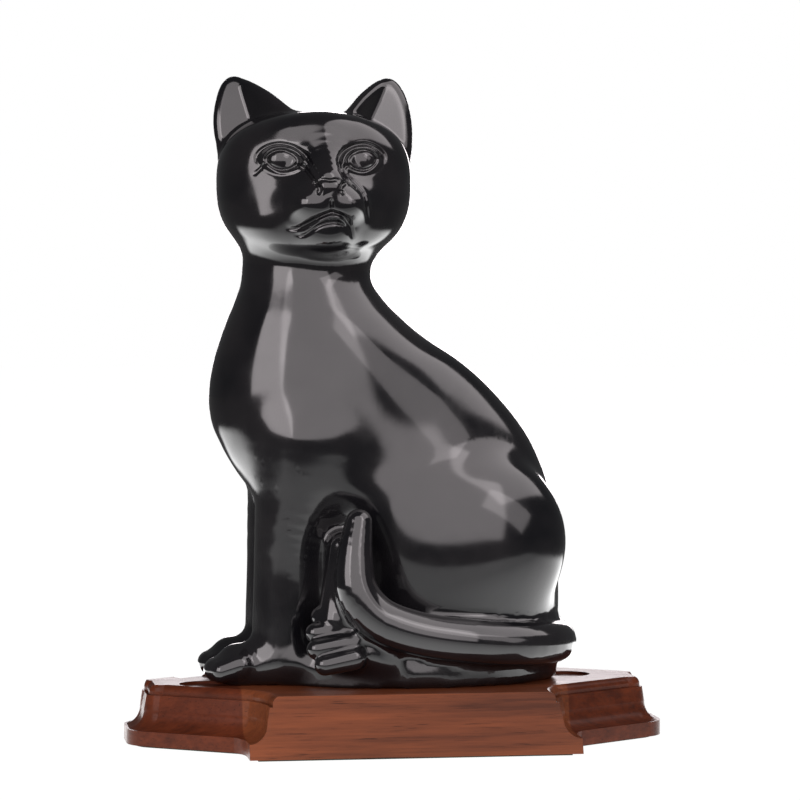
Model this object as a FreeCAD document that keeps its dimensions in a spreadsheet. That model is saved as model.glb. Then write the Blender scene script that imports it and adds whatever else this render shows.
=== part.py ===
"""Black glazed cat figure on a moulded wooden plinth, in millimetres.

The figure looks out over the front, -Y. Its body points to -X. The origin is under the middle of
the plinth, on the surface that the felt rests on.
"""
import FreeCAD, Part
import math
import os

import Sketcher

Vector = FreeCAD.Vector
Rotation = FreeCAD.Rotation

doc = FreeCAD.newDocument("cat_figure")

# ---------------------------------------------------------------- driving dimensions
sizes = {
    # felt and plinth
    "felt_thick": 1.0,
    "felt_inset": 4.0,
    "plinth_width": 240.0,
    "plinth_depth": 145.0,
    "plinth_thick": 26.0,
    "block_width": 144.0,
    "block_straight": 12.0,
    "cove_radius": 24.0,
    "wing_angle": 35.0,
    "corner_radius": 16.0,
    "face_lean": 9.0,
    # moulding, as insets from the edge and rises from the underside
    "band_rise": 6.5,
    "cove_rise": 15.0,
    "cove_inset": 8.0,
    "waist_rise": 21.5,
    "waist_inset": 9.2,
    "step_inset": 10.6,
    "bead_rise": 23.2,
    "top_inset": 13.0,
    "band_round": 1.2,
    "hollow_radius": 8.6,
    "bead_radius": 3.8,
    "cutter_reach": 4.0,
    "cutter_lift": 0.01,
    "overrun": 10.0,
    "plane_reach": 20.0,
    # dished seats in the top
    "seat_radius": 11.0,
    "seat_deep": 1.2,
    "seat_front_x": -86.0,
    "seat_near_y": -12.0,
    "seat_far_y": 18.0,
    "seat_back_x": 79.0,
    "seat_back_y": 3.0,
    # figure
    "wall": 6.0,
    "head_x": -36.0,
    "head_y": -4.0,
    "head_rise": 218.0,
    "head_wide": 82.0,
    "head_deep": 74.0,
    "head_tall": 68.0,
    "muzzle_wide": 38.0,
    "muzzle_deep": 32.0,
    "muzzle_tall": 30.0,
    "muzzle_shift": 5.0,
    "muzzle_y": -33.0,
    "muzzle_drop": 9.0,
    "ear_wide": 35.0,
    "ear_thick": 14.0,
    "ear_tall": 62.0,
    "ear_lean": 9.0,
    "ear_spread": 60.0,
    "ear_y": 2.0,
    "ear_rise": 238.5,
    "leg_x": -43.0,
    "leg_spread": 28.0,
    "leg_wide": 36.0,
    "leg_thick": 26.0,
    "leg_rise": 112.0,
    "paw_length": 50.0,
    "paw_wide": 27.0,
    "paw_tall": 38.0,
    "paw_x": -65.0,
    "haunch_x": 36.0,
    "haunch_rise": 50.0,
    "haunch_spread": 44.0,
    "haunch_length": 78.0,
    "haunch_thick": 48.0,
    "haunch_tall": 98.0,
    "hind_paw_x": -17.0,
    "hind_paw_spread": 74.0,
    "hind_paw_length": 46.0,
    "hind_paw_wide": 25.0,
    "tail_flat": 32.0,
    "tail_high": 22.4,
    "tail_tip_wide": 20.8,
    "tail_tip_thick": 19.2,
    "tail_length": 104.0,
    "tail_x": 28.0,
    "tail_out": 42.0,
    "tail_rise": 18.0,
    "tail_slope": 4.0,
    "tail_tip_tall": 62.0,
    "tail_tip_x": -14.0,
    "tail_tip_rise": 45.0,
    "tail_tip_lean": 8.0,
    # fixing
    "plug_tall": 30.0,
    "screw_pitch": 44.0,
    "screw_middle": 28.0,
    "screw_size": 5.0,
    "screw_length": 30.0,
    "screw_head": 9.0,
    "screw_head_tall": 3.6,
    "washer_wide": 11.0,
    "washer_thick": 1.0,
    "insert_wide": 8.0,
    "insert_tall": 12.0,
    "counterbore_wide": 13.0,
    "counterbore_deep": 9.0,
    "hole_clearance": 0.3,
    "thread_gap": 0.05,
    "slot_length": 5.0,
    "slot_wide": 1.1,
    "slot_deep": 2.0,
}

sheet = doc.addObject("Spreadsheet::Sheet", "Sheet")
for row, (alias, value) in enumerate(sizes.items(), start=1):
    sheet.set("A%d" % row, alias)
    sheet.set("B%d" % row, str(value))
    sheet.setAlias("B%d" % row, alias)
doc.recompute()


def value(expression):
    """The number that an expression on the sheet gives."""
    result = sheet.evalExpression(expression)
    return float(getattr(result, "Value", result))


def bind(thing, **rules):
    """Bind properties to expressions. A double underscore stands for a dot."""
    for name, rule in rules.items():
        thing.setExpression(name.replace("__", "."), str(rule))


def place(thing, x="0", y="0", rise="0"):
    bind(thing, Placement__Base__x=x, Placement__Base__y=y, Placement__Base__z=rise)


def origin_plane(body, role):
    return next(item for item in body.Origin.OriginFeatures if item.Role == role)


def new_sketch(body, name, role, offset=None):
    sketch = body.newObject("Sketcher::SketchObject", name)
    sketch.AttachmentSupport = [(origin_plane(body, role), "")]
    sketch.MapMode = "FlatFace"
    if offset is not None:
        bind(sketch, AttachmentOffset__Base__z=offset)
    return sketch


def pin(sketch, item, end, point):
    """Hold one end of a piece of sketch geometry at a point given by two expressions."""
    for kind, rule in zip(("DistanceX", "DistanceY"), point):
        number = sketch.addConstraint(Sketcher.Constraint(kind, -1, 1, item, end, value(rule)))
        sketch.setExpression("Constraints[%d]" % number, rule)


def draw_chain(sketch, points, bends=None, closed=True):
    """Draw lines and arcs through points, which are pairs of expressions.

    bends gives, by the number of an arc's first point, the expression of its radius, which is
    positive where the arc turns left.
    """
    bends = bends or {}
    spots = [Vector(value(x), value(y), 0) for x, y in points]
    pieces = []
    for index in range(len(points) if closed else len(points) - 1):
        start = spots[index]
        stop = spots[(index + 1) % len(spots)]
        if index not in bends:
            pieces.append((sketch.addGeometry(Part.LineSegment(start, stop), False), 1, 2))
            continue
        radius = value(bends[index])
        chord = stop - start
        left = Vector(-chord.y, chord.x, 0).normalize()
        reach = math.sqrt(radius ** 2 - (chord.Length / 2) ** 2)
        centre = (start + stop) / 2 + left * math.copysign(reach, radius)
        angles = [math.atan2(spot.y - centre.y, spot.x - centre.x) for spot in (start, stop)]
        ends = (1, 2) if radius > 0 else (2, 1)
        if radius < 0:
            angles.reverse()
        if angles[1] < angles[0]:
            angles[1] += 2 * math.pi
        circle = Part.Circle(centre, Vector(0, 0, 1), abs(radius))
        item = sketch.addGeometry(Part.ArcOfCircle(circle, *angles), False)
        number = sketch.addConstraint(Sketcher.Constraint("Radius", item, abs(radius)))
        sketch.setExpression("Constraints[%d]" % number, "abs(%s)" % bends[index])
        pieces.append((item, *ends))
    for index, (item, first, last) in enumerate(pieces):
        pin(sketch, item, first, points[index])
        if closed or index < len(pieces) - 1:
            follower, its_first, _ = pieces[(index + 1) % len(pieces)]
            sketch.addConstraint(Sketcher.Constraint("Coincident", item, last, follower, its_first))
        else:
            pin(sketch, item, last, points[-1])


def draw_circle(sketch, radius, x="0", y="0"):
    circle = Part.Circle(Vector(value(x), value(y), 0), Vector(0, 0, 1), value(radius))
    item = sketch.addGeometry(circle, False)
    number = sketch.addConstraint(Sketcher.Constraint("Radius", item, value(radius)))
    sketch.setExpression("Constraints[%d]" % number, radius)
    pin(sketch, item, 3, (x, y))


def new_body(name):
    body = doc.addObject("PartDesign::Body", name)
    body.Label = name
    return body


def pad(body, sketch, length):
    feature = body.newObject("PartDesign::Pad", sketch.Name + "_pad")
    feature.Profile = sketch
    bind(feature, Length=length)
    sketch.Visibility = False
    return feature


def pocket(body, sketch, depth=None, upward=False, both=False):
    """Cut a sketch away: downward from its plane, or upward, or through everything."""
    feature = body.newObject("PartDesign::Pocket", sketch.Name + "_pocket")
    feature.Profile = sketch
    feature.Reversed = upward
    feature.Midplane = both
    if depth is None:
        feature.Type = "ThroughAll"
    else:
        bind(feature, Length=depth)
    return feature


# ---------------------------------------------------------------- plan of the plinth
WING = "Sheet.wing_angle * 1deg"
COVE_X = "(Sheet.block_width / 2 + Sheet.cove_radius * (1 - cos(%s)))" % WING
COVE_Y = "(Sheet.block_straight + Sheet.cove_radius * sin(%s))" % WING
CORNER_Y = "(%s + (Sheet.plinth_width / 2 - %s) * tan(%s))" % (COVE_Y, COVE_X, WING)
CORNER_TAN = "(Sheet.corner_radius * tan(45deg - Sheet.wing_angle * 0.5deg))"


def right_edge(inset="0"):
    """The plinth's right edge from the front corner to the back one, with the radii of its arcs."""
    half = "Sheet.plinth_depth / 2"
    slope_x = "%s * sin(%s)" % (inset, WING)
    slope_y = "%s * cos(%s)" % (inset, WING)
    front = [
        ("Sheet.block_width / 2 - %s" % inset, "%s" % inset),
        ("Sheet.block_width / 2 - %s" % inset, "Sheet.block_straight"),
        ("%s - %s" % (COVE_X, slope_x), "%s + %s" % (COVE_Y, slope_y)),
        ("Sheet.plinth_width / 2 - %s * cos(%s) - %s" % (CORNER_TAN, WING, slope_x),
         "%s - %s * sin(%s) + %s" % (CORNER_Y, CORNER_TAN, WING, slope_y)),
        ("Sheet.plinth_width / 2 - %s" % inset, "%s + %s" % (CORNER_Y, CORNER_TAN)),
    ]
    points = [(x, "%s - (%s)" % (y, half)) for x, y in front]
    points += [(x, "%s - (%s)" % (half, y)) for x, y in reversed(front)]
    cove = "-(Sheet.cove_radius + %s)" % inset
    corner = "(Sheet.corner_radius - %s)" % inset
    return points, {1: cove, 3: corner, 5: corner, 7: cove}


def draw_plan(sketch, inset="0"):
    points, bends = right_edge(inset)
    count = len(points)
    points = points + [("-(%s)" % x, y) for x, y in reversed(points)]
    bends = {**bends, **{number + count: bends[number] for number in bends}}
    draw_chain(sketch, points, bends)


# ---------------------------------------------------------------- felt
def make_felt():
    body = new_body("felt_base")
    plan = new_sketch(body, "felt_plan", "XY_Plane")
    draw_plan(plan, "Sheet.felt_inset")
    pad(body, plan, "Sheet.felt_thick")
    return body


# ---------------------------------------------------------------- plinth
def cut_moulding(body, side):
    """Run the moulding along one shaped edge, as a router does: side is 1 or -1."""
    points, bends = right_edge()
    points[0] = (points[0][0], points[0][1] + " - Sheet.overrun")
    points[-1] = (points[-1][0], points[-1][1] + " + Sheet.overrun")
    name = "right" if side > 0 else "left"
    points = [("%d * (%s)" % (side, x), y) for x, y in points]
    bends = {number: "%d * %s" % (side, radius) for number, radius in bends.items()}
    path = new_sketch(body, "edge_" + name, "XY_Plane")
    draw_chain(path, points, bends, closed=False)

    section = new_sketch(body, "moulding_" + name, "XZ_Plane", "Sheet.plinth_depth / 2 + Sheet.overrun")
    edge = "Sheet.block_width / 2"
    above = "Sheet.plinth_thick + Sheet.cutter_lift"
    stations = [
        ("-Sheet.cutter_reach", "Sheet.band_rise"),
        ("Sheet.band_round", "Sheet.band_rise"),
        ("Sheet.cove_inset", "Sheet.cove_rise"),
        ("Sheet.waist_inset", "Sheet.waist_rise"),
        ("Sheet.step_inset", "Sheet.waist_rise"),
        ("Sheet.step_inset", "Sheet.bead_rise"),
        ("Sheet.top_inset", above),
        ("-Sheet.cutter_reach", above),
    ]
    profile = [("%d * (%s - (%s))" % (side, edge, inset), rise) for inset, rise in stations]
    hollow = "%d * Sheet.hollow_radius" % -side
    round_over = "%d * Sheet.bead_radius" % side
    draw_chain(section, profile, {1: hollow, 5: round_over})

    pipe = body.newObject("PartDesign::SubtractivePipe", "moulding_cut_" + name)
    pipe.Profile = section
    pipe.Spine = path
    return pipe


def lean_face(body, side):
    """Plane one end of the block back: side is -1 at the front and 1 at the back."""
    name = "front" if side < 0 else "back"
    sketch = new_sketch(body, "lean_" + name, "YZ_Plane")
    edge = "%d * Sheet.plinth_depth / 2" % side
    top = "%d * (Sheet.plinth_depth / 2 - Sheet.face_lean)" % side
    far = "%d * (Sheet.plinth_depth / 2 + Sheet.plane_reach)" % side
    draw_chain(sketch, [(edge, "0"), (top, "Sheet.plinth_thick"), (far, "Sheet.plinth_thick"), (far, "0")])
    return pocket(body, sketch, both=True)


def cut_seat(body, name, x, y):
    """A shallow dish for one foot of the figure."""
    plan = new_sketch(body, "seat_" + name, "XY_Plane", "Sheet.plinth_thick")
    draw_circle(plan, "Sheet.seat_radius", x, y)
    return pocket(body, plan, "Sheet.seat_deep")


def screw_spots():
    return ["Sheet.screw_middle - Sheet.screw_pitch / 2", "Sheet.screw_middle + Sheet.screw_pitch / 2"]


def make_plinth():
    body = new_body("wooden_plinth")
    plan = new_sketch(body, "plinth_plan", "XY_Plane")
    draw_plan(plan)
    pad(body, plan, "Sheet.plinth_thick")
    for side in (1, -1):
        cut_moulding(body, side)
        lean_face(body, side)
    cut_seat(body, "near_paw", "Sheet.seat_front_x", "Sheet.seat_near_y")
    cut_seat(body, "far_paw", "Sheet.seat_front_x", "Sheet.seat_far_y")
    cut_seat(body, "haunch", "Sheet.seat_back_x", "Sheet.seat_back_y")
    for number, x in enumerate(screw_spots(), start=1):
        bore = new_sketch(body, "screw_hole_%d" % number, "XY_Plane")
        draw_circle(bore, "Sheet.screw_size / 2 + Sheet.hole_clearance", x)
        pocket(body, bore, upward=True)
        sink = new_sketch(body, "counterbore_%d" % number, "XY_Plane")
        draw_circle(sink, "Sheet.counterbore_wide / 2", x)
        pocket(body, sink, "Sheet.counterbore_deep", upward=True)
    place(body, rise="Sheet.felt_thick")
    return body


# ---------------------------------------------------------------- figure
GROUND = "(Sheet.felt_thick + Sheet.plinth_thick)"

# Levels of the trunk: rise above the plinth, front edge, back edge and half of its depth.
TRUNK = [
    (-4, -24, 71, 35),
    (18, -28, 79, 41),
    (52, -32, 74, 44),
    (84, -54, 70, 42),
    (104, -73, 63, 38),
    (123, -81, 49, 35),
    (142, -78, 28, 32),
    (159, -73, 4, 29),
    (178, -67, -11, 27),
    (198, -64, -12, 26),
]


def fill_trunk_cells():
    """Put the trunk's levels on the sheet, beside the other dimensions."""
    for number, level in enumerate(TRUNK):
        for column, (word, size) in enumerate(zip(("rise", "front", "back", "deep"), level)):
            cell = "%s%d" % ("DEFG"[column], number + 1)
            sheet.set(cell, str(size))
            sheet.setAlias(cell, "trunk_%s_%d" % (word, number))
    doc.recompute()


def make_trunk(name, inset="0"):
    """Loft the trunk through level ellipses, each inset by the same amount."""
    levels = []
    for number in range(len(TRUNK)):
        ring = doc.addObject("Part::Ellipse", "%s_level_%d" % (name, number))
        front = "Sheet.trunk_front_%d" % number
        back = "Sheet.trunk_back_%d" % number
        bind(ring, MajorRadius="(%s - %s) / 2 - %s" % (back, front, inset),
             MinorRadius="Sheet.trunk_deep_%d - %s" % (number, inset))
        place(ring, "(%s + %s) / 2" % (front, back), "0", "%s + Sheet.trunk_rise_%d" % (GROUND, number))
        levels.append(ring)
    loft = doc.addObject("Part::Loft", name)
    loft.Sections = levels
    loft.Solid = True
    return loft


def ellipsoid(name, length, depth, height, x, y, rise, turn=(0, 0, 0)):
    """An ellipsoid of full sizes along X, Y and Z. turn is yaw, pitch and roll in degrees."""
    thing = doc.addObject("Part::Ellipsoid", name)
    thing.Angle1 = -90
    thing.Placement = FreeCAD.Placement(Vector(0, 0, 0), Rotation(*turn))
    bind(thing, Radius1="(%s) / 2" % height, Radius2="(%s) / 2" % length, Radius3="(%s) / 2" % depth)
    place(thing, x, y, "%s + %s" % (GROUND, rise))
    return thing


# Levels of a foreleg, as shares of its rise, width and thickness.
LEG = [
    (-0.04, 1.0, 1.0),
    (0.3, 0.86, 0.92),
    (0.65, 0.95, 1.0),
    (1.0, 1.1, 1.05),
]


def make_leg(name, side):
    """A foreleg: level ellipses from the paw up into the chest."""
    across = "%d * Sheet.leg_spread / 2" % side
    levels = []
    for number, (part, wide, thick) in enumerate(LEG):
        ring = doc.addObject("Part::Ellipse", "%s_level_%d" % (name, number))
        bind(ring, MajorRadius="%s * Sheet.leg_wide / 2" % wide,
             MinorRadius="%s * Sheet.leg_thick / 2" % thick)
        place(ring, "Sheet.leg_x", across, "%s + %s * Sheet.leg_rise" % (GROUND, part))
        levels.append(ring)
    loft = doc.addObject("Part::Loft", name)
    loft.Sections = levels
    loft.Solid = True
    return loft


def fuse(name, parts):
    thing = doc.addObject("Part::MultiFuse", name)
    thing.Shapes = parts
    return thing


def cut(name, base, tool):
    thing = doc.addObject("Part::Cut", name)
    thing.Base = base
    thing.Tool = tool
    return thing


def slab(name, low, high):
    """A wide slab between two rises above the plinth."""
    thing = doc.addObject("Part::Box", name)
    bind(thing, Length="Sheet.plinth_width * 2", Width="Sheet.plinth_width * 2",
         Height="(%s) - (%s)" % (high, low))
    place(thing, "-Sheet.plinth_width", "-Sheet.plinth_width", "%s + (%s)" % (GROUND, low))
    return thing


def make_head():
    rise = "Sheet.head_rise"
    parts = [
        ellipsoid("head", "Sheet.head_wide", "Sheet.head_deep", "Sheet.head_tall", "Sheet.head_x",
                  "Sheet.head_y", rise),
        ellipsoid("muzzle", "Sheet.muzzle_wide", "Sheet.muzzle_deep", "Sheet.muzzle_tall",
                  "Sheet.head_x + Sheet.muzzle_shift", "Sheet.muzzle_y", rise + " - Sheet.muzzle_drop"),
    ]
    for side, word in ((-1, "left"), (1, "right")):
        lean = side * value("Sheet.ear_lean")
        parts.append(ellipsoid("ear_" + word, "Sheet.ear_wide", "Sheet.ear_thick", "Sheet.ear_tall",
                               "Sheet.head_x + %d * Sheet.ear_spread / 2" % side, "Sheet.ear_y",
                               "Sheet.ear_rise", (0, lean, 0)))
    return parts


def make_limbs():
    parts = []
    for side, word in ((-1, "near"), (1, "far")):
        leg_y = "%d * Sheet.leg_spread / 2" % side
        haunch_y = "%d * Sheet.haunch_spread / 2" % side
        parts.append(make_leg("foreleg_" + word, side))
        parts.append(ellipsoid("paw_" + word, "Sheet.paw_length", "Sheet.paw_wide", "Sheet.paw_tall",
                               "Sheet.paw_x", leg_y, "0"))
        parts.append(ellipsoid("haunch_" + word, "Sheet.haunch_length", "Sheet.haunch_thick",
                               "Sheet.haunch_tall", "Sheet.haunch_x", haunch_y, "Sheet.haunch_rise"))
        parts.append(ellipsoid("hind_paw_" + word, "Sheet.hind_paw_length", "Sheet.hind_paw_wide",
                               "Sheet.paw_tall", "Sheet.hind_paw_x",
                               "%d * Sheet.hind_paw_spread / 2" % side, "0"))
    return parts


def make_tail():
    """The tail lies round the near side of the base and turns up at its tip."""
    return [
        ellipsoid("tail_root", "Sheet.tail_length", "Sheet.tail_flat", "Sheet.tail_high",
                  "Sheet.tail_x", "-Sheet.tail_out", "Sheet.tail_rise", (0, value("Sheet.tail_slope"), 0)),
        ellipsoid("tail_tip", "Sheet.tail_tip_wide", "Sheet.tail_tip_thick", "Sheet.tail_tip_tall",
                  "Sheet.tail_tip_x", "-Sheet.tail_out", "Sheet.tail_tip_rise",
                  (0, -value("Sheet.tail_tip_lean"), 0)),
    ]


def make_figure():
    """The glazed shell, cast hollow and open underneath, and the shape of its hollow."""
    outside = fuse("outside", [make_trunk("trunk")] + make_head() + make_limbs() + make_tail())
    skin = "2 * Sheet.wall"
    inside = fuse("inside", [
        make_trunk("trunk_hollow", "Sheet.wall"),
        ellipsoid("head_hollow", "Sheet.head_wide - " + skin, "Sheet.head_deep - " + skin,
                  "Sheet.head_tall - " + skin, "Sheet.head_x", "Sheet.head_y", "Sheet.head_rise"),
    ])
    seated = cut("seated", outside, slab("under_figure", "-Sheet.plinth_depth", "0"))
    return cut("cat_figure", seated, inside), inside


# ---------------------------------------------------------------- fixing
def cylinder(name, radius, low, high, x, y="0"):
    thing = doc.addObject("Part::Cylinder", name)
    bind(thing, Radius=radius, Height="(%s) - (%s)" % (high, low))
    place(thing, x, y, low)
    return thing


def make_plug(inside):
    """The plaster that fills the foot of the hollow, with a socket for each insert and screw tip."""
    layer = doc.addObject("Part::Common", "plug_layer")
    layer.Base = inside
    layer.Tool = slab("plug_slab", "0", "Sheet.plug_tall")
    sockets = []
    for number, x in enumerate(screw_spots(), start=1):
        sockets.append(cylinder("insert_socket_%d" % number, "Sheet.insert_wide / 2", GROUND,
                                GROUND + " + Sheet.insert_tall", x))
        sockets.append(cylinder("tip_socket_%d" % number, "Sheet.screw_size / 2", GROUND,
                                GROUND + " + Sheet.insert_tall + Sheet.screw_size", x))
    return cut("plaster_plug", layer, fuse("sockets", sockets))


def make_inserts():
    bushes = []
    for number, x in enumerate(screw_spots(), start=1):
        top = GROUND + " + Sheet.insert_tall"
        rim = cylinder("insert_rim_%d" % number, "Sheet.insert_wide / 2", GROUND, top, x)
        bore = cylinder("insert_bore_%d" % number, "Sheet.screw_size / 2 + Sheet.thread_gap", GROUND, top, x)
        bushes.append(cut("insert_%d" % number, rim, bore))
    return group("threaded_inserts", bushes)


def make_washers():
    rings = []
    roof = "(Sheet.felt_thick + Sheet.counterbore_deep)"
    for number, x in enumerate(screw_spots(), start=1):
        low = roof + " - Sheet.washer_thick"
        rim = cylinder("washer_rim_%d" % number, "Sheet.washer_wide / 2", low, roof, x)
        hole = cylinder("washer_hole_%d" % number, "Sheet.screw_size / 2 + Sheet.hole_clearance", low, roof,
                        x)
        rings.append(cut("washer_%d" % number, rim, hole))
    return group("screw_washers", rings)


def make_screws():
    """Pan head machine screws, driven up from below, with a cross recess each."""
    screws = []
    seat = "(Sheet.felt_thick + Sheet.counterbore_deep - Sheet.washer_thick)"
    low = "(%s - Sheet.screw_head_tall)" % seat
    for number, x in enumerate(screw_spots(), start=1):
        head = cylinder("screw_head_%d" % number, "Sheet.screw_head / 2", low, seat, x)
        shank = cylinder("screw_shank_%d" % number, "Sheet.screw_size / 2", seat,
                         seat + " + Sheet.screw_length", x)
        slots = []
        for name, along, across in (("slot", "Sheet.slot_length", "Sheet.slot_wide"),
                                    ("cross", "Sheet.slot_wide", "Sheet.slot_length")):
            bar = doc.addObject("Part::Box", "%s_%d" % (name, number))
            bind(bar, Length=along, Width=across, Height="Sheet.slot_deep")
            place(bar, "%s - %s / 2" % (x, along), "-%s / 2" % across, low)
            slots.append(bar)
        blank = fuse("screw_blank_%d" % number, [head, shank])
        screws.append(cut("screw_%d" % number, blank, fuse("recess_%d" % number, slots)))
    return group("fixing_screws", screws)


def group(name, parts):
    thing = doc.addObject("Part::Compound", name)
    thing.Links = parts
    return thing


# ---------------------------------------------------------------- whole object
def check_all(nodes):
    """Stop if any object failed or any node isn't whole."""
    failed = [item.Name for item in doc.Objects if {"Invalid", "Error"} & set(item.State)]
    if failed:
        raise RuntimeError("failed: " + ", ".join(failed))
    for node in nodes:
        if node.Shape.isNull() or not node.Shape.isValid() or not node.Shape.Solids:
            raise RuntimeError("not whole: " + node.Label)


def main():
    fill_trunk_cells()
    figure, inside = make_figure()
    nodes = [make_felt(), make_plinth(), figure, make_plug(inside), make_inserts(), make_washers(),
             make_screws()]
    doc.recompute()
    for node in nodes:
        node.Label = node.Name
    check_all(nodes)
    os.makedirs("parts", exist_ok=True)
    for node in nodes:
        node.Shape.exportStep("parts/%s.step" % node.Label)
        print("%s: %d solids, %.0f mm3" % (node.Label, len(node.Shape.Solids), node.Shape.Volume))


main()
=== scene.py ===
import math

import bpy
import bmesh
import numpy as np
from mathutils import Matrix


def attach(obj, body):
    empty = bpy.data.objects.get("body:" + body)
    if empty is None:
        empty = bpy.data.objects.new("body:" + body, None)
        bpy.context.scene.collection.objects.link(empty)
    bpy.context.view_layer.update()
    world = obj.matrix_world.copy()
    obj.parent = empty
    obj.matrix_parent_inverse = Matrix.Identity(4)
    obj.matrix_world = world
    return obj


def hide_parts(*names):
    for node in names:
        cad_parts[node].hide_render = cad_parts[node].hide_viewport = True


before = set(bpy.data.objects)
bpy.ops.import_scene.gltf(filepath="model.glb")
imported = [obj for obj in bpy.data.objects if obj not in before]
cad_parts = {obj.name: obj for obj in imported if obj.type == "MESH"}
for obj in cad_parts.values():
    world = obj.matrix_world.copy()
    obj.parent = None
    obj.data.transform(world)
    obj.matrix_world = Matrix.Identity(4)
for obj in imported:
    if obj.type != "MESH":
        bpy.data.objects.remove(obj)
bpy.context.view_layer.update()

import openvdb
from mathutils import Euler, Vector

print("frame loaded,", len(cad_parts), "nodes")


# fields are in millimetres: x to the right, y away from the front, z above the plinth's top
tiny = 1e-9  # keeps divisions and path ends safe


def blend(a, b, soft):  # smooth union
    h = np.maximum(soft - np.abs(a - b), 0) / soft
    return np.minimum(a, b) - h * h * soft / 4


def meet(a, b, soft):  # smooth intersection
    return -blend(-a, -b, soft)


def smoothKeys(at, keys, values):  # cubic through key values that never overshoots
    steps = np.diff(keys)
    rises = np.diff(values) / steps
    same = rises[:-1] * rises[1:] > 0
    total = np.where(same, rises[:-1] + rises[1:], 1)
    slopes = np.zeros(len(keys))
    slopes[1:-1] = np.where(same, 2 * rises[:-1] * rises[1:] / total, 0)
    slopes[0], slopes[-1] = rises[0], rises[-1]
    at = np.clip(at, keys[0], keys[-1])
    i = np.clip(np.searchsorted(keys, at) - 1, 0, len(keys) - 2)
    s = (at - keys[i]) / steps[i]
    return ((1 + 2 * s) * (1 - s) ** 2 * values[i] + s * (1 - s) ** 2 * steps[i] * slopes[i]
            + s * s * (3 - 2 * s) * values[i + 1] + s * s * (s - 1) * steps[i] * slopes[i + 1])


def smoothPath(points, count):  # Catmull-Rom curve through rows of any width
    p = np.asarray(points, float)
    p = np.vstack([2 * p[0] - p[1], p, 2 * p[-1] - p[-2]])
    t = np.linspace(0, len(p) - 3 - tiny, count)
    i = t.astype(int)
    u = (t - i)[:, None]
    a, b, c, d = p[i], p[i + 1], p[i + 2], p[i + 3]
    return 0.5 * (2 * b + (c - a) * u + (2 * a - 5 * b + 4 * c - d) * u ** 2
                  + (3 * b - a - 3 * c + d) * u ** 3)


def ellipsoid(p, centre, radii):
    q = p - np.asarray(centre, float)
    r = np.asarray(radii, float)
    k0 = np.linalg.norm(q / r, axis=1)
    return k0 * (k0 - 1) / np.maximum(np.linalg.norm(q / r ** 2, axis=1), tiny)


def tube(p, path, count=0):  # tapered tube through rows of x, y, z and radius
    rows = smoothPath(path, count) if count else np.asarray(path, float)
    best = np.full(len(p), np.inf)
    for a, b in zip(rows[:-1], rows[1:]):
        d = b[:3] - a[:3]
        t = np.clip((p - a[:3]) @ d / (d @ d), 0, 1)
        away = np.linalg.norm(p - a[:3] - t[:, None] * d, axis=1)
        best = np.minimum(best, away - (a[3] + t * (b[3] - a[3])))
    return best


def lineDistance(u, v, rows):  # distance in a plane to a line of points
    best = np.full(len(u), np.inf)
    for a, b in zip(rows[:-1], rows[1:]):
        d = b - a
        t = np.clip(((u - a[0]) * d[0] + (v - a[1]) * d[1]) / (d @ d), 0, 1)
        best = np.minimum(best, (u - a[0] - t * d[0]) ** 2 + (v - a[1] - t * d[1]) ** 2)
    return np.sqrt(best)


def leafDistance(u, v, outline, count):  # signed distance to a closed smooth outline
    rows = smoothPath(outline + [outline[0]], count)
    inside = np.zeros(len(u), bool)
    for a, b in zip(rows[:-1], rows[1:]):
        if a[1] != b[1]:
            crosses = (a[1] > v) != (b[1] > v)
            inside ^= crosses & (u < (b[0] - a[0]) * (v - a[1]) / (b[1] - a[1]) + a[0])
    away = lineDistance(u, v, rows)
    return np.where(inside, -away, away)


def bump(d, width):
    return np.exp(-(d / width) ** 2)


def ramp(d, rounding):  # zero below nought, the value itself above, with a rounded corner
    return (d + np.hypot(d, rounding)) / 2


body = {
    "trunk": [  # z, front x, back x, half depth
        (-6, -24, 70, 35), (16, -28, 73, 40), (35, -30, 74.5, 42), (53, -32, 74.2, 42), (71, -42, 72.6, 40.5),
        (80, -52, 71.3, 39), (88, -63.5, 69.3, 37.5), (97, -70, 66, 36), (106, -75.2, 61.8, 35),
        (115, -79.4, 56, 34), (124, -80.7, 48.7, 33), (133, -80, 40.2, 32), (142, -78.2, 29.6, 31),
        (151, -75.6, 15.8, 30), (160, -72.8, 3.2, 29), (169, -69.8, -6.6, 27.5), (178, -67.8, -11.3, 26.5),
        (187, -67.8, -10, 26), (200, -68, -8, 26),
    ],
    "top": 194,
    "chest": ((-36, -8, 128), (34, 26, 44)),
    "haunch": ((31, 21, 62), (43, 25, 41)),
    "wall": 6.0,
    "soft": {"top": 14, "chest": 24, "haunch": 7, "wall": 2, "foot": 1.2},
}


def levelStack(p, levels):  # ellipses laid over each other
    z, front, back, deep = np.asarray(levels, float).T
    xf, xb, b = (smoothKeys(p[:, 2], z, column) for column in (front, back, deep))
    a = (xb - xf) / 2
    return (np.hypot((p[:, 0] - (xf + xb) / 2) / a, p[:, 1] / b) - 1) * np.sqrt(a * b)


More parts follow.
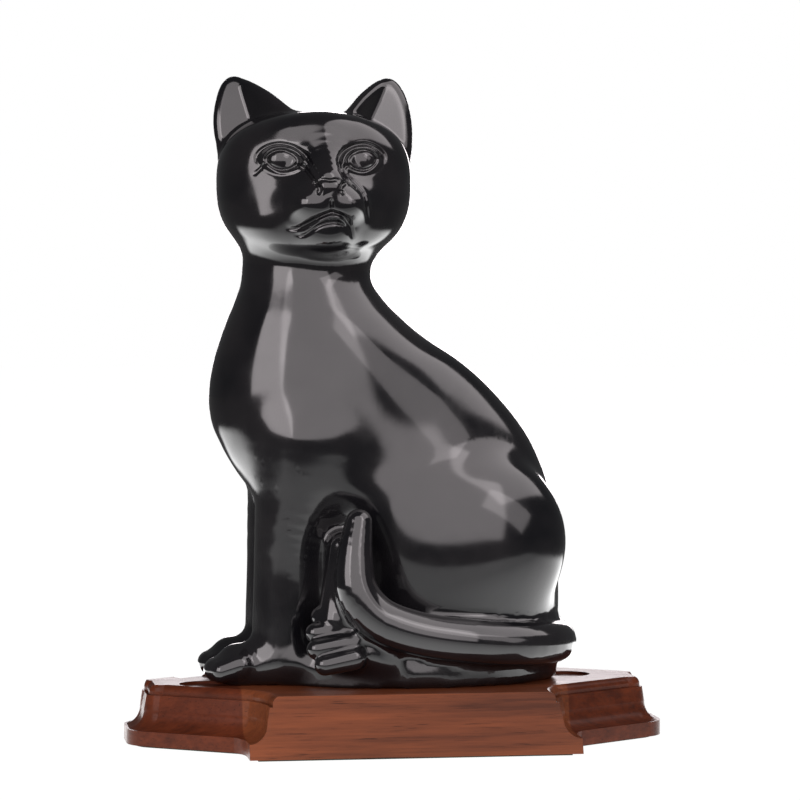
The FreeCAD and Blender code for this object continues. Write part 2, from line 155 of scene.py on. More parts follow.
head = {
    "middle": (-36, -1, 221), "half": (41.2, 37.5, 30.0), "below": 28, "ahead": 27,
    "outline": 2.35, "mean": 34, "back": (2.5, 2.8), "frontEnd": 6,
    "face": ((-36, 18, 216), (54, 55, 70)),
    "jaw": ((-36.5, -6, 205), (33.5, 32, 20)),
    "muzzle": ((-34.3, -31, 211), (17.5, 16.5, 12.5)),
    "chin": ((-34.4, -32, 198.5), (11, 13, 8.5)),
    "bridge": [(-35.2, -25, 238, 8), (-34.8, -34, 229, 6.5), (-34.4, -43, 221.5, 4.6)],
    "nose": [(-36.8, -45.5, 217.3, 3.4), (-32.0, -45.5, 217.3, 3.4), (-34.3, -46.0, 213.3, 2.6)],
    "lips": [((-42.0, -39.5, 210.5), (8.4, 9.5, 7.0)), ((-26.6, -39.5, 210.5), (8.4, 9.5, 7.0))],
    "soft": {"brow": 8, "frontEnd": 8, "back": 6, "jaw": 14, "muzzle": 10, "chin": 6, "bridge": 9, "nose": 3,
             "lips": 4, "neck": 9, "ears": 2.5},
    "from": 176, "frontFrom": -18,  # where the head's field and the face's lines begin
}


def skullField(p):  # a rounded front joined to a fuller back
    soft = head["soft"]
    q = p - np.asarray(head["middle"])
    q[:, 2] *= np.where(q[:, 2] < 0, head["half"][2] / head["below"], 1)
    q[:, 1] *= np.where(q[:, 1] < 0, head["half"][1] / head["ahead"], 1)
    q = np.abs(q) / np.asarray(head["half"]) + 1e-6
    n = head["outline"]
    shape = ((q[:, 0] ** n + q[:, 2] ** n) ** (1 / n) - 1) * head["mean"]
    front = meet(shape, ellipsoid(p, *head["face"]), soft["brow"])
    front = meet(front, p[:, 1] - head["frontEnd"], soft["frontEnd"])
    plan, rise = head["back"]
    level = (q[:, 0] ** plan + q[:, 1] ** plan) ** (rise / plan)
    back = ((level + q[:, 2] ** rise) ** (1 / rise) - 1) * head["half"][2]
    return blend(front, back, soft["back"])


def headField(p):
    soft = head["soft"]
    f = skullField(p)
    for name in ("jaw", "muzzle", "chin"):
        f = blend(f, ellipsoid(p, *head[name]), soft[name])
    f = blend(f, tube(p, head["bridge"], 8), soft["bridge"])
    f = blend(f, tube(p, head["nose"]), soft["nose"])
    for lip in head["lips"]:
        f = blend(f, ellipsoid(p, *lip), soft["lips"])
    return f


ears = {
    "plane": 4.0, "level": 232, "rake": 0.22, "slope": 1.12, "rim": 3.4, "thick": 4.4, "body": 3.5,
    "bodyInset": 8, "backFollows": 0.55, "frontTilt": 1.25, "backTilt": 1.1,
    "soft": {"edge": 4.0, "sheet": 1.5, "fold": 1.2, "rim": 1.5, "floor": 0.8},
    "reach": 8, "far": 30.0, "points": 80,
    "left": {
        "outline": [(-74.8, 222), (-78.2, 234), (-79.9, 248), (-78.3, 259), (-75.1, 266.5), (-70.2, 269.4),
                    (-64.2, 267.6), (-55.7, 262), (-49.2, 256.2), (-43.7, 250), (-43, 240),
                    (-55, 228), (-67, 222)],
        "fold": ((-69.2, 268.5), (-61, 240)), "turn": -0.12, "inner": 1,
    },
    "right": {
        "outline": [(6.8, 222), (9.8, 232), (10.9, 246), (9.1, 258.5), (5.1, 266.4), (0.2, 269.2),
                    (-5.5, 267.6), (-13.3, 261.6), (-19.2, 255.2), (-24.4, 249), (-26, 240),
                    (-13, 228), (-2, 222)],
        "fold": ((0.2, 269), (-14.2, 240)), "turn": 0.12, "inner": -1,
    },
}


def earField(p, one):  # a leaf folded along a line, open to the front
    soft, reach = ears["soft"], ears["reach"]
    f = np.full(len(p), ears["far"])
    us, vs = np.asarray(one["outline"], float).T
    near = (p[:, 0] > us.min() - reach) & (p[:, 0] < us.max() + reach) & (p[:, 2] > vs.min() - reach)
    u, y, v = p[near].T
    leaf = leafDistance(u, v, one["outline"], ears["points"])
    inset = np.maximum(-leaf, 0)
    top, low = (np.asarray(end, float) for end in one["fold"])
    along = (low - top) / np.linalg.norm(low - top)
    across = one["inner"] * ((u - top[0]) * -along[1] + (v - top[1]) * along[0])
    folded = ramp(across, soft["fold"]) - ramp(ears["rim"] - inset, soft["rim"])
    forward = ears["slope"] * ramp(folded, soft["floor"])
    plane = ears["plane"] + ears["rake"] * (v - ears["level"]) + one["turn"] * (u - low[0])
    back = plane - ears["backFollows"] * forward + ears["thick"]
    back = back + ears["body"] * inset / (inset + ears["bodyInset"])
    sheet = meet((plane - forward - y) / ears["frontTilt"], (y - back) / ears["backTilt"], soft["sheet"])
    f[near] = meet(leaf, sheet, soft["edge"])
    return f


face = {
    "eyes": [(-53.8, 229.6, 1), (-18.4, 229.8, -1)],  # x, z, side of the nose
    "ball": (8.4, -26.0), "ballSoft": 0.8, "wide": (5.8, 6.4), "tall": 4.0, "droop": 0.06, "corner": 1.8,
    "rings": [  # outset from the eye's edge, width, depth, depth added above the eye
        (0.3, 0.6, 0.8, 0), (1.6, 0.8, -0.3, -0.4), (3.1, 0.8, 0.1, 0.65),
    ],
    "lid": (0.8, 1.5), "points": 16, "fade": 1.8,
    "strokes": [  # depth in, width, line in x and z
        (0.9, 0.9, [(-49, 227.2), (-45.4, 226.4), (-42.4, 223.2), (-40.4, 219)]),
        (0.7, 0.7, [(-47.6, 235), (-43.8, 231), (-40.8, 226), (-38.6, 220.4)]),
        (-0.5, 0.9, [(-46.4, 230.6), (-43, 227), (-40.2, 221.6)]),
        (0.5, 0.7, [(-60, 229), (-62.8, 225.8), (-66, 222.9)]),
        (0.9, 0.9, [(-23.2, 227.2), (-27, 226.6), (-26.9, 223.6), (-22.8, 219.4), (-19.2, 215),
                    (-17.7, 209.5), (-16.4, 202)]),
        (0.7, 0.7, [(-26.2, 234.6), (-29.4, 230), (-29.2, 224.6), (-25.4, 220), (-20.6, 215)]),
        (-0.5, 0.9, [(-28, 230.4), (-28, 225), (-24, 219.7), (-19.8, 214.6)]),
        (1.2, 0.9, [(-41.6, 219.6), (-39.7, 218.2), (-39, 216.4), (-40, 213.8)]),
        (1.2, 0.9, [(-27.4, 219.6), (-29.3, 218.2), (-30, 216.4), (-29, 213.8)]),
        (0.6, 0.8, [(-40.6, 219), (-37.6, 220.6), (-34.6, 220.3), (-31.6, 220.6), (-28.6, 219)]),
        (0.9, 0.7, [(-34, 212.6), (-33.8, 209.4), (-33.6, 206)]),
        (1.5, 1.0, [(-53, 200), (-47.7, 199.9), (-42.9, 202.2), (-38.1, 205), (-33.4, 206.6), (-28.7, 204.9),
                    (-25.5, 201.2), (-23.4, 195)]),
        (-0.9, 1.0, [(-42, 200.8), (-37, 204), (-33.3, 204.9), (-29.6, 204), (-26.6, 201)]),
        (0.8, 0.8, [(-49.4, 197.4), (-45.2, 196.8), (-42, 198.8), (-38.5, 201.2), (-33.3, 202.4),
                    (-28.2, 201.4), (-25.8, 197)]),
    ],
}


def stroke(u, v, path, width):  # a line that fades out at both ends
    rows = smoothPath(path, face["points"])
    best, along = np.full(len(u), np.inf), np.zeros(len(u))
    for i, (a, b) in enumerate(zip(rows[:-1], rows[1:])):
        d = b - a
        t = np.clip(((u - a[0]) * d[0] + (v - a[1]) * d[1]) / (d @ d), 0, 1)
        away = (u - a[0] - t * d[0]) ** 2 + (v - a[1] - t * d[1]) ** 2
        closer = away < best
        best = np.where(closer, away, best)
        along = np.where(closer, (i + t) / (len(rows) - 1), along)
    return np.exp(-best / width ** 2) * np.clip(np.sin(np.pi * along) * face["fade"], 0, 1)


def faceDetail(p, f):  # eyes, lids, nostrils and mouth, drawn on the front of the head
    u, v = p[:, 0], p[:, 2]
    radius, deep = face["ball"]
    n = face["corner"]
    for x, z, side in face["eyes"]:
        f = blend(f, ellipsoid(p, (x, deep, z), (radius,) * 3), face["ballSoft"])
        a = side * (u - x)
        b = v - z + face["droop"] * a
        wide = np.where(a > 0, face["wide"][1], face["wide"][0])
        ring = ((np.abs(a / wide) ** n + np.abs(b / face["tall"]) ** n) ** (1 / n) - 1) * face["tall"]
        upper = 0.5 + 0.5 * np.tanh((b + face["lid"][0]) / face["lid"][1])
        for outset, thick, depth, above in face["rings"]:
            f = f + (depth + above * upper) * bump(ring - outset, thick)
    for depth, width, path in face["strokes"]:
        f = f + depth * stroke(u, v, path, width)
    return f


limbs = {
    "fore": [(-41, 17, 106, 22), (-44.5, 16, 84, 19.2), (-48.5, 15.5, 64, 15.6), (-50.3, 15, 48, 14),
             (-51, 15, 30, 13.8), (-51.5, 15, 12, 13.6)],
    "palm": [(-52, 15, 9, 11), (-71, 15, 7.5, 10.5)],
    "pawSide": 15, "toeSpread": (4.8, 4.7), "toeRoot": (-71, 9, 5.6), "toeTip": (-79, 6.5, 4.9),
    "toes": [(-1.5, 0), (-0.5, 2.4), (0.5, 2.4), (1.5, 0)],  # place across the paw, extra length
    "shin": [(-30, -37, 30, 9), (-28, -35, 48, 8), (-27, -32, 61, 7)],
    "foot": [(-26, 37, 19, 10.5), (-10, 39, 14, 9)],
    "hindToes": [(49, 11.5, -37), (46, 18, -40), (41, 24.5, -40), (35.5, 31, -37)],  # y, z, x of each tip
    "hindRoot": (-24, -2, 2.5, 5.4), "hindTip": 4.6,
    "base": [(-6, -57, 73, 46), (6, -57, 73, 46), (24, -52, 72, 44)], "baseTop": 19, "baseEdge": 12,
    "belly": ((-28, 0, 46), (24, 27, 44)),
    "tail": [(-21.8, -45, 72.6, 6.0), (-24, -48, 57, 8.0), (-23, -50, 43, 9.2), (-14, -50.5, 31.5, 9.6),
             (4, -50.5, 24.5, 9.6), (30, -48, 20.5, 9.6), (53, -41, 18.5, 9.4), (68.5, -25, 17.5, 9.0),
             (71.5, -4, 17, 8.8), (65, 18, 15, 8.5), (48, 32, 14, 8.0)],
    "soft": {"belly": 6, "base": 5, "fore": 10, "palm": 6, "toes": 2.6, "shin": 5, "foot": 5, "hindToes": 1.5,
             "tail": 4.5},
    "below": 95,  # nothing of the paws and the tail is higher
}


def mirrored(path):
    return [(x, -y, z, r) for x, y, z, r in path]


def pawsAndTail(p, f):
    soft, apart = limbs["soft"], limbs["pawSide"]
    (rootX, rootZ, rootRadius), (tipX, tipZ, tipRadius) = limbs["toeRoot"], limbs["toeTip"]
    rootSpread, tipSpread = limbs["toeSpread"]
    for y in (-apart, apart):
        for step, longer in limbs["toes"]:
            toe = [(rootX, y + step * rootSpread, rootZ, rootRadius),
                   (tipX - longer, y + step * tipSpread, tipZ, tipRadius)]
            f = blend(f, tube(p, toe), soft["toes"])
    f = blend(f, tube(p, limbs["shin"], 8), soft["shin"])
    back, inward, higher, thick = limbs["hindRoot"]
    for side, flip in ((-1, mirrored), (1, list)):
        f = blend(f, tube(p, flip(limbs["foot"])), soft["foot"])
        for y, z, x in limbs["hindToes"]:
            toe = [(back, side * (y + inward), z + higher, thick), (x, side * y, z, limbs["hindTip"])]
            f = blend(f, tube(p, toe), soft["hindToes"])
    return blend(f, tube(p, limbs["tail"], 40), soft["tail"])


def solidField(p):  # the whole figure, and the part of it that is cast hollow
    soft = body["soft"]
    f = meet(levelStack(p, body["trunk"]), p[:, 2] - body["top"], soft["top"])
    f = blend(f, ellipsoid(p, *body["chest"]), soft["chest"])
    core = f.copy()
    f = blend(f, ellipsoid(p, *limbs["belly"]), limbs["soft"]["belly"])
    base = meet(levelStack(p, limbs["base"]), p[:, 2] - limbs["baseTop"], limbs["baseEdge"])
    f = blend(f, base, limbs["soft"]["base"])
    (x, y, z), radii = body["haunch"]
    for side in (-1, 1):
        f = blend(f, ellipsoid(p, (x, side * y, z), radii), soft["haunch"])
    for flip in (list, mirrored):
        f = blend(f, tube(p, flip(limbs["fore"]), 22), limbs["soft"]["fore"])
        f = blend(f, tube(p, flip(limbs["palm"])), limbs["soft"]["palm"])
    low = p[:, 2] < limbs["below"]
    f[low] = pawsAndTail(p[low], f[low])
    high = p[:, 2] > head["from"]
    if high.any():
        q = p[high]
        skull = headField(q)
        g = blend(f[high], skull, head["soft"]["neck"])
        core[high] = blend(core[high], skull, head["soft"]["neck"])
        for one in ("left", "right"):
            g = blend(g, earField(q, ears[one]), head["soft"]["ears"])
        front = q[:, 1] < head["frontFrom"]
        g[front] = faceDetail(q[front], g[front])
        f[high] = g
    return f, core


def catField(p):  # negative in the clay
    f, core = solidField(p)
    shell = meet(f, -core - body["wall"], body["soft"]["wall"])
    return meet(shell, -p[:, 2], body["soft"]["foot"])


def settle(p, rounds):  # pull points onto the zero level
    probe, flattest, longest = sculpt["settle"]
    for _ in range(rounds):
        f = catField(p)
        slope = np.column_stack([catField(p + probe * axis) - f for axis in np.eye(3)]) / probe
        step = np.clip(f / np.maximum((slope ** 2).sum(1), flattest), -longest, longest)
        p = p - step[:, None] * slope
    return p


def evenOut(points, edges, share):  # move points toward the middle of their neighbours
    total = np.zeros_like(points)
    count = np.bincount(edges.ravel(), minlength=len(points))
    for a, b in ((0, 1), (1, 0)):
        for axis in range(3):
            total[:, axis] += np.bincount(edges[:, a], points[edges[:, b], axis], minlength=len(points))
    return points + share * (total / count[:, None] - points)


sculpt = {
    "spacing": 2.85, "low": (-96, -66, -6), "high": (92, 62, 276), "lift": 27, "skin": -3,
    "settle": (0.08, 0.15, 1.2),  # probe length, flattest slope, longest step
    "rounds": [(0.5, 1), (0.3, 2)],  # share of evening out, settling steps after it
    "details": [  # boxes whose skin is split once, then twice, then three times
        [((-86, -70, 184), (14, -8, 272)), ((-95, -40, -1), (-60, 40, 24)), ((-52, -64, -1), (-12, -20, 78)),
         ((-88, -30, 222), (16, 26, 275))],
        [((-68, -70, 192), (-6, -24, 242)), ((-95, -40, -1), (-68, 40, 18)), ((-50, -62, -1), (-24, -28, 40)),
         ((-88, -30, 240), (-44, 26, 275)), ((-30, -30, 240), (16, 26, 275))],
        [((-54, -70, 194), (-22, -36, 222)), ((-64, -70, 222), (-42, -22, 238)),
         ((-30, -70, 202), (-8, -22, 238))],
    ],
}


def split(mesh, boxes):  # halve the outer faces whose middles lie in any box
    bm = bmesh.new()
    bm.from_mesh(mesh)
    middles = np.array([item.calc_center_median() for item in bm.faces]) * 1000
    chosen = np.zeros(len(middles), bool)
    for low, high in boxes:
        chosen |= ((middles > low) & (middles < high)).all(1)
    chosen[chosen] = solidField(middles[chosen])[0] > sculpt["skin"]
    edges = {edge for item, wanted in zip(bm.faces, chosen) if wanted for edge in item.edges}
    bmesh.ops.subdivide_edges(bm, edges=list(edges), cuts=1, use_grid_fill=True)
    bm.to_mesh(mesh)
    bm.free()


def readPoints(mesh):
    points = np.empty(len(mesh.vertices) * 3)
    mesh.vertices.foreach_get("co", points)
    edges = np.empty(len(mesh.edges) * 2, int)
    mesh.edges.foreach_get("vertices", edges)
    return points.reshape(-1, 3) * 1000, edges.reshape(-1, 2)


def writePoints(mesh, points):
    mesh.vertices.foreach_set("co", (points / 1000).ravel())


def makeCat():
    low = np.asarray(sculpt["low"], float)
    spacing = sculpt["spacing"]
    count = np.ceil((np.asarray(sculpt["high"]) - low) / spacing).astype(int)
    axes = [low[i] + spacing * np.arange(count[i]) for i in range(3)]
    grid = np.stack(np.meshgrid(*axes, indexing="ij"), -1).reshape(-1, 3)
    volume = openvdb.FloatGrid(background=50.0)
    volume.copyFromArray(catField(grid).reshape(count).astype(np.float32))
    points, quads = volume.convertToQuads(isovalue=0.0)
    points = np.asarray(points, float) * spacing + low
    a, b, c, d = points[np.asarray(quads).T]
    if np.einsum("ij,ij->i", np.cross(c - a, d - b), (a + b + c + d)).sum() < 0:
        quads = np.asarray(quads)[:, ::-1]
    mesh = bpy.data.meshes.new("catFigure")
    mesh.from_pydata((points / 1000).tolist(), [], np.asarray(quads).tolist())
    for boxes in [[]] + sculpt["details"]:
        if boxes:
            split(mesh, boxes)
        points, edges = readPoints(mesh)
        points = settle(points, 1)
        for share, steps in sculpt["rounds"]:
            points = settle(evenOut(points, edges, share), steps)
        writePoints(mesh, points)
    points[:, 2] += sculpt["lift"]
    writePoints(mesh, points)
    mesh.polygons.foreach_set("use_smooth", [True] * len(mesh.polygons))
    mesh.update()
    print("cat sculpted,", sum(len(item.vertices) - 2 for item in mesh.polygons), "triangles")
    item = bpy.data.objects.new("catFigure", mesh)
    bpy.context.collection.objects.link(item)
    return item


class Socket:  # an output that takes part in sums
    def __init__(self, tree, socket):
        self.tree = tree
        self.socket = socket

    def math(self, operation, first, second):
        node = self.tree.nodes.new("ShaderNodeMath")
        node.operation = operation
        feed(self.tree, node.inputs[0], first)
        feed(self.tree, node.inputs[1], second)
        return Socket(self.tree, node.outputs[0])

    def __add__(self, other):
        return self.math("ADD", self, other)

    def __sub__(self, other):
        return self.math("SUBTRACT", self, other)

    def __rsub__(self, other):
        return self.math("SUBTRACT", other, self)

    def __mul__(self, other):
        return self.math("MULTIPLY", self, other)

    __radd__ = __add__
    __rmul__ = __mul__


def feed(tree, slot, item):
    if isinstance(item, Socket):
        tree.links.new(item.socket, slot)
    else:
        slot.default_value = item


def tone(red, green, blue):
    return (red, green, blue, 1)


class Wiring:  # a node tree being wired up
    def __init__(self, tree):
        self.tree = tree

    def node(self, kind, settings=None, output=0, inputs=()):
        node = self.tree.nodes.new("ShaderNode" + kind)
        for key, value in (settings or {}).items():
            setattr(node, key, value)
        for key, value in dict(inputs).items():
            feed(self.tree, node.inputs[key], value)
        return Socket(self.tree, node.outputs[output])

    def place(self, scale=(1, 1, 1), turn=(0, 0, 0)):
        here = self.node("TexCoord", output="Object")
        return self.node("Mapping", inputs={"Vector": here, "Scale": scale, "Rotation": turn})

    def noise(self, where, scale, detail=3.0, roughness=0.5):
        return self.node("TexNoise", inputs={"Vector": where, "Scale": scale, "Detail": detail,
                                             "Roughness": roughness})

    def span(self, value, low, high, to=(0.0, 1.0), smooth=False):
        settings = {"interpolation_type": "SMOOTHSTEP"} if smooth else {}
        return self.node("MapRange", settings, inputs={"Value": value, "From Min": low, "From Max": high,
                                                        "To Min": to[0], "To Max": to[1]})

    def mix(self, share, first, second, blending="MIX"):
        mix = self.tree.nodes.new("ShaderNodeMix")
        mix.data_type = "RGBA"
        mix.blend_type = blending
        feed(self.tree, mix.inputs[0], share)
        feed(self.tree, mix.inputs[6], first)
        feed(self.tree, mix.inputs[7], second)
        return Socket(self.tree, mix.outputs[2])

    def split(self, vector, axis):
        return self.node("SeparateXYZ", output=axis, inputs={"Vector": vector})


class Finish(Wiring):  # a material
    def __init__(self, name, constants):
        self.material = bpy.data.materials.new(name)
        self.material.use_nodes = True
        super().__init__(self.material.node_tree)
        self.shader = self.tree.nodes["Principled BSDF"]
        self.set(constants)

    def set(self, inputs):
        for key, value in inputs.items():
            feed(self.tree, self.shader.inputs[key], value)

    def relief(self, height, strength, distance):
        bumped = self.node("Bump", inputs={"Height": height, "Strength": strength, "Distance": distance})
        self.set({"Normal": bumped})


glaze = {
    "deep": tone(0.003, 0.003, 0.004), "thin": tone(0.011, 0.010, 0.011), "gloss": (0.10, 0.17),
    "coat": (0.47, 0.55), "cloud": 26, "smear": 90, "film": 60, "swell": (45, 0.6), "ripple": (330, 0.10),
    "pit": (-0.0317, -0.0295, 0.1855), "pitSize": (0.00064, 0.0016), "pitDepth": 4,
}


def glazeFinish():
    finish = Finish("blackGlaze", {"IOR": 1.5, "Coat Roughness": 0.025, "Coat IOR": 1.5})
    here = finish.place()
    cloud = finish.span(finish.noise(here, glaze["cloud"]), 0.35, 0.7)
    smear = finish.noise(here, glaze["smear"], 5)
    film = finish.noise(here, glaze["film"])
    finish.set({"Base Color": finish.mix(cloud, glaze["deep"], glaze["thin"]),
                "Roughness": finish.span(smear, 0.35, 0.65, glaze["gloss"]),
                "Coat Weight": finish.span(film, 0.3, 0.7, glaze["coat"])})
    away = finish.node("VectorMath", {"operation": "DISTANCE"}, 1, {0: here, 1: glaze["pit"]})
    hole = finish.span(away, *glaze["pitSize"], smooth=True)
    (fineScale, fine), (wideScale, wide) = glaze["ripple"], glaze["swell"]
    waves = finish.noise(here, fineScale, 1.5) * fine + finish.noise(here, wideScale, 2) * wide
    finish.relief(waves + hole * glaze["pitDepth"], 0.25, 0.00035)
    return finish.material


walnut = {
    "light": tone(0.150, 0.042, 0.016), "dark": tone(0.056, 0.017, 0.008), "pore": tone(0.022, 0.009, 0.006),
    # painted shade: a darker tint multiplied onto the plinth's moulded wings, beyond about 72 mm either side
    # of the middle
    "wingShade": tone(0.60, 0.50, 0.55), "wingShadeFrom": (0.0717, 0.0723), "roughness": (0.28, 0.40),
    "coat": (0.07, 0.042), "lean": 2.0,
    "wavy": (4, 22, 22), "grain": (9, 150, 150), "fine": (30, 700, 700), "streak": (70, 2100, 2100),
    "shares": (0.45, 0.4, 0.25), "figure": (0.44, 0.68), "pores": 0.7,
}


def walnutFinish():
    finish = Finish("walnut", {"Coat Roughness": 0.09, "Coat IOR": 1.5, "Specular IOR Level": 0.06})
    lean = (0, math.radians(walnut["lean"]), 0)
    wavy = finish.noise(finish.place(walnut["wavy"], lean), 1.0, 2)
    grain = finish.noise(finish.place(walnut["grain"], lean), 1.0, 6, 0.62)
    fine = finish.noise(finish.place(walnut["fine"], lean), 1.0, 4, 0.6)
    streak = finish.noise(finish.place(walnut["streak"], lean), 1.0, 2)
    wavyShare, grainShare, fineShare = walnut["shares"]
    figure = finish.span(wavy * wavyShare + grain * grainShare + fine * fineShare, *walnut["figure"])
    colour = finish.mix(figure, walnut["light"], walnut["dark"])
    pore = finish.span(streak, 0.60, 0.68) * finish.span(fine, 0.42, 0.6)
    colour = finish.mix(pore * walnut["pores"], colour, walnut["pore"])
    # painted shade: the plinth's wings, more than about 72 mm from the middle, are multiplied darker
    aside = finish.node("Math", {"operation": "ABSOLUTE"}, 0, {0: finish.split(finish.place(), 0)})
    wingShade = finish.span(aside, *walnut["wingShadeFrom"])
    colour = finish.mix(wingShade, colour, finish.mix(1.0, colour, walnut["wingShade"], "MULTIPLY"))
    finish.set({"Base Color": colour, "Roughness": finish.span(fine, 0.3, 0.7, walnut["roughness"]),
                "Coat Weight": finish.span(pore, 0, 1, walnut["coat"])})
    finish.relief(grain * 0.3 - pore, 0.3, 0.0002)
    return finish.material


feltLook = {
    "dark": tone(0.010, 0.018, 0.013), "light": tone(0.030, 0.048, 0.036), "roughness": (0.9, 1.0),
    "fibre": (2600, 0.7), "patch": (40, 0.3),  # scale and share
}


def feltFinish():
    finish = Finish("felt", {"Specular IOR Level": 0.1})
    here = finish.place()
    (fibreScale, fibreShare), (patchScale, patchShare) = feltLook["fibre"], feltLook["patch"]
    fibre = finish.noise(here, fibreScale, 4, 0.7)
    patch = finish.noise(here, patchScale, 3)
    mottle = finish.span(fibre * fibreShare + patch * patchShare, 0.35, 0.65)
    finish.set({"Base Color": finish.mix(mottle, feltLook["dark"], feltLook["light"]),
                "Roughness": finish.span(fibre, 0.3, 0.7, feltLook["roughness"])})
    finish.relief(fibre, 0.8, 0.0004)
    return finish.material


plasterLook = {
    "low": tone(0.60, 0.575, 0.53), "high": tone(0.80, 0.785, 0.75), "roughness": (0.8, 0.95),
    "grit": (900, 0.4), "stain": (35, 0.6), "bubbles": 260.0,  # scale and share
}


def plasterFinish():
    finish = Finish("plaster", {"Specular IOR Level": 0.2})
    here = finish.place()
    (gritScale, gritShare), (stainScale, stainShare) = plasterLook["grit"], plasterLook["stain"]
    grit = finish.noise(here, gritScale, 5, 0.65)
    stain = finish.noise(here, stainScale, 4)
    bubbles = finish.node("TexVoronoi", inputs={"Vector": here, "Scale": plasterLook["bubbles"]})
    mottle = finish.span(stain * stainShare + grit * gritShare, 0.35, 0.65)
    finish.set({"Base Color": finish.mix(mottle, plasterLook["low"], plasterLook["high"]),
                "Roughness": finish.span(grit, 0.3, 0.7, plasterLook["roughness"])})
    finish.relief(grit * gritShare + finish.span(bubbles, 0.05, 0.16), 0.6, 0.0004)
    return finish.material


metals = {
    "brass": {"low": tone(0.42, 0.27, 0.08), "high": tone(0.78, 0.57, 0.24), "gloss": (0.22, 0.38)},
    "zinc": {"low": tone(0.42, 0.44, 0.47), "high": tone(0.66, 0.68, 0.70), "gloss": (0.24, 0.42)},
    "turned": (60, 60, 2400), "bloom": 240,
}


def metalFinish(name):
    look = metals[name]
    finish = Finish(name, {"Metallic": 1.0})
    turned = finish.noise(finish.place(metals["turned"]), 1.0, 2)
    bloom = finish.noise(finish.place(), metals["bloom"], 4)
    finish.set({"Base Color": finish.mix(finish.span(bloom, 0.35, 0.65), look["low"], look["high"]),
                "Roughness": finish.span(turned * 0.5 + bloom * 0.5, 0.35, 0.65, look["gloss"])})
    finish.relief(turned, 0.25, 0.00006)
    return finish.material


def dress(item, material):
    item.data.materials.clear()
    item.data.materials.append(material)


cat = makeCat()
dress(cat, glazeFinish())
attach(cat, "root")
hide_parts("cat_figure")

zinc = metalFinish("zinc")
looks = {"wooden_plinth": walnutFinish(), "felt_base": feltFinish(), "plaster_plug": plasterFinish(),
         "threaded_inserts": metalFinish("brass"), "screw_washers": zinc, "fixing_screws": zinc}
for name, material in looks.items():
    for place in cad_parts[name].material_slots:
        place.material = material
print("materials set")

plinthEdges = {"width": 0.0005, "segments": 2, "sharperThan": 40}
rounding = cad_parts["wooden_plinth"].modifiers.new("softEdges", "BEVEL")
rounding.width = plinthEdges["width"]
rounding.segments = plinthEdges["segments"]
rounding.limit_method = "ANGLE"
rounding.angle_limit = math.radians(plinthEdges["sharperThan"])
rounding.harden_normals = True

view = {
    "azimuth": 8.5, "from": (-0.2146, -1.456, 0.196), "fall": 1.74,
    "lens": 148.3, "sensor": 36, "reach": 50,
}
camera = bpy.data.objects.new("camera", bpy.data.cameras.new("camera"))
bpy.context.collection.objects.link(camera)
camera.location = view["from"]
camera.rotation_euler = Euler((math.radians(90 - view["fall"]), 0, math.radians(-view["azimuth"])))
camera.data.lens = view["lens"]
camera.data.sensor_width = view["sensor"]
camera.data.clip_end = view["reach"]
bpy.context.scene.camera = camera

studio = {
    "half": 8.0, "floor": 0.03, "glow": 1.0, "tint": (1.0, 0.93, 0.95), "feather": 0.08, "aim": 0.15,
    "front": (-0.38, -0.30), "side": (0.50, 0.34), "back": (0.40, 0.28),  # where the bright table begins
    "deep": (-0.22, 0.12), "bright": (0.7, 3.0),  # it brightens toward the back
    "rest": 0.08, "dark": 0.07, "darkTint": tone(0.95, 0.97, 1),
    "boxes": [  # name, azimuth, rise, distance, size, brightness, roll
        ("leftBox", -49, 16, 1.6, (1.0, 1.0), 4.0, 0),
        ("frontBank", -3, 28, 2.2, (3.2, 2.7), 2.1, 0),
        ("rightBank", 66, 50, 2.2, (3.0, 1.7), 2.2, 0),
        ("slantBank", 37, 22.5, 2.2, (1.6, 0.9), 1.6, -42),
        ("backCard", 169, 5, 2.4, (1.1, 0.7), 4.2, 0),
    ],
}


def onlyForCamera(wiring, seen, reflected):  # the camera sees one shader, reflections the other
    isCamera = wiring.node("LightPath", output="Is Camera Ray")
    return wiring.node("MixShader", inputs={0: isCamera, 1: reflected, 2: seen})


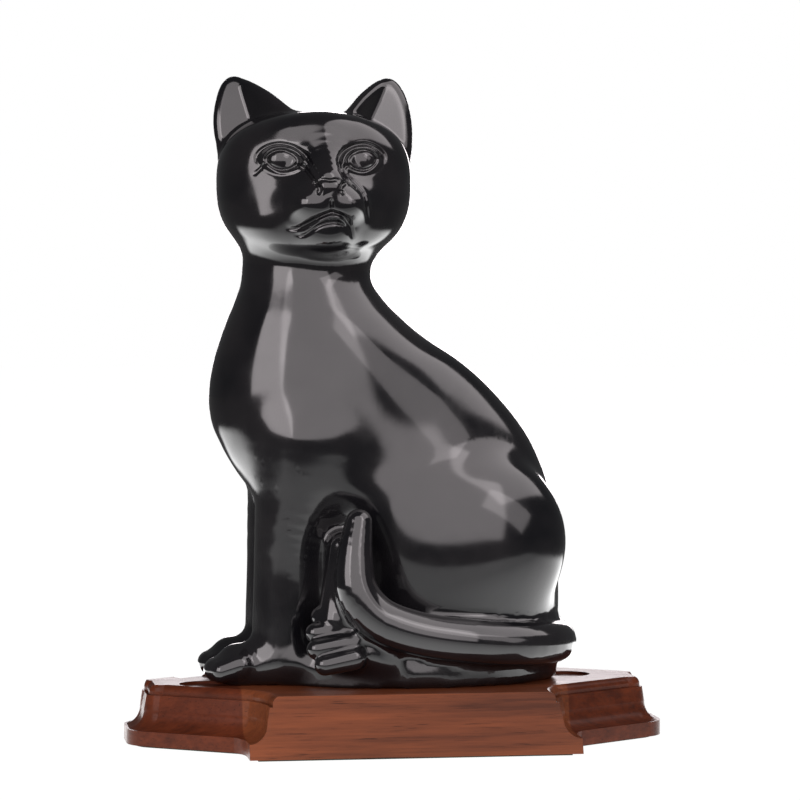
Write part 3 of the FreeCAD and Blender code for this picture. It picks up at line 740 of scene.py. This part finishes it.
def makeFloor():
    half = studio["half"]
    corners = [(-half, -half, 0), (half, -half, 0), (half, half, 0), (-half, half, 0)]
    mesh = bpy.data.meshes.new("floor")
    mesh.from_pydata(corners, [], [(0, 1, 2, 3)])
    item = bpy.data.objects.new("floor", mesh)
    bpy.context.collection.objects.link(item)
    finish = Finish("paleFloor", {"Base Color": tone(*(studio["floor"],) * 3), "Roughness": 0.9,
                                  "Specular IOR Level": 0.0, "Emission Color": tone(1, 1, 1),
                                  "Emission Strength": studio["glow"]})
    here = finish.place()
    across, deep = finish.split(here, 0), finish.split(here, 1)
    aside = finish.node("Math", {"operation": "ABSOLUTE"}, 0, {0: across})
    shine = finish.span(deep, *studio["deep"], studio["bright"])
    for value, edge in ((deep, "front"), (aside, "side"), (deep, "back")):
        shine = shine * finish.span(value, *studio[edge], smooth=True)
    glow = finish.node("Emission", inputs={"Strength": shine + studio["rest"]})
    seen = Socket(finish.tree, finish.shader.outputs[0])
    mixed = onlyForCamera(finish, seen, glow)
    finish.tree.links.new(mixed.socket, finish.tree.nodes["Material Output"].inputs["Surface"])
    dress(item, finish.material)


def makeWorld():
    world = bpy.data.worlds.new("studio")
    bpy.context.scene.world = world
    world.use_nodes = True
    wiring = Wiring(world.node_tree)
    white = wiring.node("Background", inputs={"Color": tone(1, 1, 1), "Strength": 1.0})
    dark = wiring.node("Background", inputs={"Color": studio["darkTint"], "Strength": studio["dark"]})
    mixed = onlyForCamera(wiring, white, dark)
    wiring.tree.links.new(mixed.socket, wiring.tree.nodes["World Output"].inputs["Surface"])


def makeBox(name, azimuth, rise, distance, size, brightness, roll):  # azimuth 0 is the front
    lamp = bpy.data.lights.new(name, "AREA")
    lamp.shape = "RECTANGLE"
    lamp.size, lamp.size_y = size
    lamp.energy = brightness * math.pi * size[0] * size[1]
    lamp.color = studio["tint"]
    lamp.use_nodes = True
    wiring = Wiring(lamp.node_tree)
    spread = wiring.node("NewGeometry", output="Parametric")
    edge = 1.0
    for axis in (0, 1):
        across = wiring.split(spread, axis)
        edge = edge * wiring.span(across * (1 - across), 0.0, studio["feather"], smooth=True)
    wiring.tree.links.new(edge.socket, wiring.tree.nodes["Emission"].inputs["Strength"])
    item = bpy.data.objects.new(name, lamp)
    bpy.context.collection.objects.link(item)
    a, e = math.radians(azimuth), math.radians(rise)
    away = Vector((math.sin(a) * math.cos(e), -math.cos(a) * math.cos(e), math.sin(e)))
    item.location = Vector((0, 0, studio["aim"])) + away * distance
    turn = away.to_track_quat("Z", "Y").to_matrix() @ Euler((0, 0, math.radians(roll))).to_matrix()
    item.rotation_euler = turn.to_euler()


makeFloor()
makeWorld()
for one in studio["boxes"]:
    makeBox(*one)
bpy.context.scene.view_settings.view_transform = "Standard"
print("studio lit")
